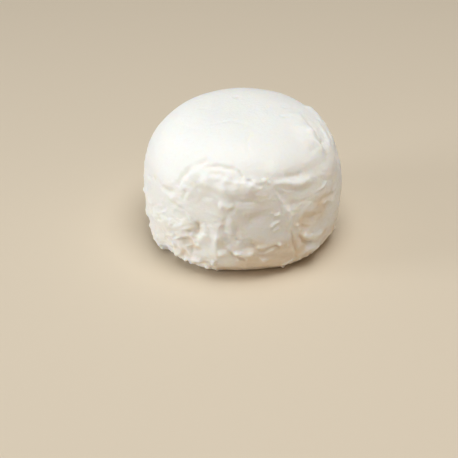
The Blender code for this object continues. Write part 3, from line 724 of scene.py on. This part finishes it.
def curd_body():
    """The skin closed into one body: its rings, a fan at the top, and a flat foot below."""
    skin, values = build_curd()
    sectors = skin.shape[1]
    shares = np.linspace(0.0, 1.0, FOOT_RINGS + 1)[1:-1, None, None]
    foot = skin[0] * shares
    centres = np.array([[0, 0, 0], [0, 0, skin[-1, :, 2].mean()]])
    points = np.concatenate([foot.reshape(-1, 3), skin.reshape(-1, 3), centres])
    total = len(foot) + len(skin)
    here = np.arange(sectors)
    beside = (here + 1) % sectors
    ring = np.arange(total - 1)[:, None] * sectors
    corners = [ring + here, ring + beside, ring + sectors + beside, ring + sectors + here]
    quads = np.stack(corners, axis=-1).reshape(-1, 4)
    bottom = np.full(sectors, total * sectors)
    last = (total - 1) * sectors
    fans = np.concatenate([
        np.stack([bottom, beside, here], axis=1),
        np.stack([bottom + 1, last + here, last + beside], axis=1),
    ])
    piece = mesh_piece("curd_body", points, quads.tolist() + fans.tolist())
    for name, value in values.items():
        under = np.repeat(value[:1], len(foot), axis=0)
        ends = [value[0].mean(), value[-1].mean()]
        add_values(piece, name, np.concatenate([under.ravel(), value.ravel(), ends]))
    return piece


# ---------------------------------------------------------------- material


class Graph:
    """Adds nodes to a material and joins them: a value may be a number, a colour or a socket."""

    def __init__(self, material):
        material.use_nodes = True
        self.nodes = material.node_tree.nodes
        self.links = material.node_tree.links
        self.shader = self.nodes["Principled BSDF"]

    def put(self, socket, value):
        """Joins the socket to a value, or sets it where the value is plain."""
        if isinstance(value, bpy.types.NodeSocket):
            self.links.new(value, socket)
        else:
            socket.default_value = value

    def attribute(self, name):
        """The number that was stored under that name for each point."""
        node = self.nodes.new("ShaderNodeAttribute")
        node.attribute_name = name
        return node.outputs["Fac"]

    def place(self, stretch=(1, 1, 1)):
        """The object's own coordinates, stretched."""
        source = self.nodes.new("ShaderNodeTexCoord")
        mapping = self.nodes.new("ShaderNodeMapping")
        mapping.inputs["Scale"].default_value = stretch
        self.links.new(source.outputs["Object"], mapping.inputs["Vector"])
        return mapping.outputs["Vector"]

    def noise(self, place, per_metre, detail, roughness=0.55, distortion=0.0):
        """Cloudy noise round 0.5, with so many lumps per metre."""
        node = self.nodes.new("ShaderNodeTexNoise")
        self.links.new(place, node.inputs["Vector"])
        node.inputs["Scale"].default_value = per_metre
        node.inputs["Detail"].default_value = detail
        node.inputs["Roughness"].default_value = roughness
        node.inputs["Distortion"].default_value = distortion
        return node.outputs["Fac"]

    def cells(self, place, per_metre):
        """The distance to the nearest of scattered points, so many per metre."""
        node = self.nodes.new("ShaderNodeTexVoronoi")
        self.links.new(place, node.inputs["Vector"])
        node.inputs["Scale"].default_value = per_metre
        return node.outputs["Distance"]

    def remap(self, value, low, high, to_low=0.0, to_high=1.0):
        """Takes the range from low to high smoothly to another range, and stops at its ends."""
        node = self.nodes.new("ShaderNodeMapRange")
        node.interpolation_type = "SMOOTHSTEP"
        self.put(node.inputs["Value"], value)
        node.inputs["From Min"].default_value = low
        node.inputs["From Max"].default_value = high
        node.inputs["To Min"].default_value = to_low
        node.inputs["To Max"].default_value = to_high
        return node.outputs["Result"]

    def math(self, operation, first, second):
        """The result of an operation on two numbers."""
        node = self.nodes.new("ShaderNodeMath")
        node.operation = operation
        self.put(node.inputs[0], first)
        self.put(node.inputs[1], second)
        return node.outputs[0]

    def mix(self, share, first, second):
        """The first colour with that share of the second."""
        node = self.nodes.new("ShaderNodeMix")
        node.data_type = "RGBA"
        self.put(node.inputs["Factor"], share)
        self.put(node.inputs[6], first)
        self.put(node.inputs[7], second)
        return node.outputs[2]

    def bump(self, height, distance, strength):
        """Directions tilted as if the skin rose by the height times the distance."""
        node = self.nodes.new("ShaderNodeBump")
        node.inputs["Distance"].default_value = distance
        node.inputs["Strength"].default_value = strength
        self.links.new(height, node.inputs["Height"])
        return node.outputs["Normal"]


# Cream is the curd's own tone in clouds and mottle, and also painted shade in hollows and partly
# painted warm bounce below the sheet. Whey brown is partly damp curd and partly painted shade in
# deep hollows, pockets and at the foot, with painted warm bounce. Crest white is a painted
# highlight.
MILK_WHITE = (0.925, 0.925, 0.9, 1)
CREAM_AND_SHADE = (0.885, 0.85, 0.785, 1)
WHEY_AND_SHADE = (0.82, 0.70, 0.55, 1)
CREST_HIGHLIGHT = (0.95, 0.95, 0.93, 1)

# Textures: lumps per metre, detail, roughness and distortion.
CLOUD = (70, 4, 0.6, 0.6)
SPECK = (420, 3)
GRAIN = (900, 3, 0.6)
MOTTLE = (520, 5, 0.7)
GRAIN_STRETCH = (1, 1, 1.7)
PORES_PER_METRE = 650

# Where a tint begins and where it is full. A crest value is in mm, and below 0 in a hollow. The
# hollow ranges give painted shade and the high range a painted highlight. Below the sheet the
# cream is partly painted warm bounce, and the damp range gives a brown that is partly whey and
# partly painted shade and warm bounce.
HOLLOW_CRESTS = (-0.05, -0.75)
DEEP_CRESTS = (-0.5, -1.5)
HIGH_CRESTS = (0.05, 0.7)
BELOW_SHEET = (0.1, 0.8)  # full up to the first and gone from the second
CREAM_CLOUDS = (0.42, 0.68)
MOTTLED = (0.46, 0.7)
DAMP_AND_SHADE = (0.1, 1.0)
DAMP_CLOUDS = (0.3, 0.7, -0.15, 0.15)  # from which clouds to which, and what they add to the whey

# How much of a tint there is where it is full. The hollow and deep amounts are painted shade, the
# high amount a painted highlight, the amount below the sheet partly painted warm bounce, and the
# damp amount partly painted shade and warm bounce.
CREAM_EVERYWHERE = 0.1
CREAM_AND_BOUNCE_BELOW = 0.4  # more, below the sheet
MOTTLE_CREAM = 0.3
HOLLOW_SHADE = 0.6
DEEP_SHADE = 0.5
DAMP_AND_SHADE_SHARE = 0.75
CREST_HIGHLIGHT_SHARE = 0.6

# The surface: how matt it is, how rough to the touch, and how light sinks in. A row of four says
# between which values of its texture the result goes from the third number to the fourth.
SPECK_MATT = (0.35, 0.7, 0.0, 0.12)
CLOUD_MATT = (0.35, 0.7, 0.42, 0.58)
SHEET_GRAIN = (0.1, 0.9, 1.0, 0.45)  # the grain is fainter on the sheet than below it
PORE_SHARE = 0.35
GRAIN_HEIGHT = 0.35 * MM
GRAIN_STRENGTH = 0.55
SINK_WEIGHT = 0.75
SINK_RADIUS = (1.0, 0.82, 0.6)  # red light goes deepest
SINK_DEPTH = 2.3 * MM
SHINE = 0.4


def curd_material():
    """Milk white, clouded and mottled with cream; a painted highlight on the crests and painted
    shade in the hollows; below the sheet a cream that is partly painted warm bounce; and in the
    damp patches a brown that is partly whey, partly painted shade and warm bounce.
    """
    material = bpy.data.materials.new("fresh_curd")
    graph = Graph(material)
    place = graph.place()
    crest = graph.attribute("crest")
    sheet = graph.attribute("sheet")
    cloud = graph.noise(place, *CLOUD)

    # Below the sheet the curd turns creamier, partly its own tone and partly painted warm bounce.
    below = graph.math("MULTIPLY", graph.remap(sheet, *BELOW_SHEET, 1.0, 0.0), CREAM_AND_BOUNCE_BELOW)
    most = graph.math("ADD", below, CREAM_EVERYWHERE)
    clouded = graph.math("MULTIPLY", graph.remap(cloud, *CREAM_CLOUDS), most)
    mottle = graph.remap(graph.noise(place, *MOTTLE), *MOTTLED)
    # The damp value, partly whey and partly painted shade and warm bounce, with clouds added.
    whey_and_shade = graph.math("ADD", graph.attribute("whey_and_shade"), graph.remap(cloud, *DAMP_CLOUDS))
    colour = graph.mix(clouded, MILK_WHITE, CREAM_AND_SHADE)
    # Painted shade in the hollows and deep hollows, a brown in the damp patches that is partly
    # painted shade and warm bounce, and a painted highlight on the crests.
    for value, amount, tint in [
        (mottle, MOTTLE_CREAM, CREAM_AND_SHADE),
        (graph.remap(crest, *HOLLOW_CRESTS), HOLLOW_SHADE, CREAM_AND_SHADE),
        (graph.remap(crest, *DEEP_CRESTS), DEEP_SHADE, WHEY_AND_SHADE),
        (graph.remap(whey_and_shade, *DAMP_AND_SHADE), DAMP_AND_SHADE_SHARE, WHEY_AND_SHADE),
        (graph.remap(crest, *HIGH_CRESTS), CREST_HIGHLIGHT_SHARE, CREST_HIGHLIGHT),
    ]:
        colour = graph.mix(graph.math("MULTIPLY", value, amount), colour, tint)
    graph.put(graph.shader.inputs["Base Color"], colour)

    speck = graph.remap(graph.noise(place, *SPECK), *SPECK_MATT)
    matt = graph.math("ADD", speck, graph.remap(cloud, *CLOUD_MATT))
    graph.put(graph.shader.inputs["Roughness"], matt)
    grain = graph.noise(graph.place(GRAIN_STRETCH), *GRAIN)
    rough = graph.math("MULTIPLY", grain, graph.remap(sheet, *SHEET_GRAIN))
    pores = graph.math("MULTIPLY", graph.cells(place, PORES_PER_METRE), PORE_SHARE)
    relief = graph.math("ADD", rough, pores)
    graph.put(graph.shader.inputs["Normal"], graph.bump(relief, GRAIN_HEIGHT, GRAIN_STRENGTH))
    graph.put(graph.shader.inputs["Subsurface Weight"], SINK_WEIGHT)
    graph.put(graph.shader.inputs["Subsurface Radius"], SINK_RADIUS)
    graph.put(graph.shader.inputs["Subsurface Scale"], SINK_DEPTH)
    graph.put(graph.shader.inputs["Specular IOR Level"], SHINE)
    return material


# ---------------------------------------------------------------- the stage


# Each lamp's name, place, aim and width in metres, power in watts, and colour.
LAMPS = [
    ("overhead", (0.11, -0.19, 1.22), (0, 0, 0.04), 0.9, 12.5, (0.99, 1.0, 0.98)),
    ("window", (-1.13, -0.24, 0.21), (0, 0, 0.04), 0.45, 6.9, (0.93, 0.97, 1.0)),
    ("bounce", (0.42, -0.50, 0.05), (0, 0, 0.02), 0.3, 0.24, (1.0, 0.58, 0.3)),
]
AIR_COLOUR = (1.0, 0.95, 0.88, 1)
AIR_STRENGTH = 0.14
FLOOR_CORNERS = np.array([(-3, -3, 0), (3, -3, 0), (3, 3, 0), (-3, 3, 0)], float)
FLOOR_COLOUR = (0.71, 0.61, 0.48, 1)
FLOOR_ROUGHNESS = 0.8
CAMERA_PLACE = (-0.0073, -0.7445, 0.4655)
CAMERA_TILT = math.radians(58)
FOCAL_LENGTH = 125.8
SENSOR_WIDTH = 36


def area_light(name, place, target, size, power, colour):
    """A round lamp at a place, turned towards its target."""
    lamp = bpy.data.lights.new(name, "AREA")
    lamp.shape = "DISK"
    lamp.size = size
    lamp.energy = power
    lamp.color = colour
    light = bpy.data.objects.new(name, lamp)
    light.location = place
    away = np.array(place) - np.array(target)
    turn = math.atan2(away[0], -away[1])
    tilt = math.atan2(math.hypot(away[0], away[1]), away[2])
    light.rotation_euler = (tilt, 0, turn)
    bpy.context.scene.collection.objects.link(light)


def set_camera():
    """The camera, in front of the cheese and looking down at it."""
    camera = bpy.data.cameras.new("camera")
    camera.sensor_width = SENSOR_WIDTH
    camera.lens = FOCAL_LENGTH
    holder = bpy.data.objects.new("camera", camera)
    holder.location = CAMERA_PLACE
    holder.rotation_euler = (CAMERA_TILT, 0, 0)
    bpy.context.scene.collection.objects.link(holder)
    bpy.context.scene.camera = holder


def set_stage():
    """A plain pale floor, the lamps, and the light of the air all round."""
    floor = mesh_piece("floor", FLOOR_CORNERS, [(0, 1, 2, 3)])
    material = bpy.data.materials.new("floor")
    material.use_nodes = True
    shader = material.node_tree.nodes["Principled BSDF"]
    shader.inputs["Base Color"].default_value = FLOOR_COLOUR
    shader.inputs["Roughness"].default_value = FLOOR_ROUGHNESS
    floor.data.materials.append(material)
    for lamp in LAMPS:
        area_light(*lamp)
    world = bpy.data.worlds.new("world")
    world.use_nodes = True
    world.node_tree.nodes["Background"].inputs["Color"].default_value = AIR_COLOUR
    world.node_tree.nodes["Background"].inputs["Strength"].default_value = AIR_STRENGTH
    bpy.context.scene.world = world
    bpy.context.scene.view_settings.view_transform = "Standard"


set_camera()
body = curd_body()
body.data.materials.append(curd_material())
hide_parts("cheese")
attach(body, "root")
set_stage()
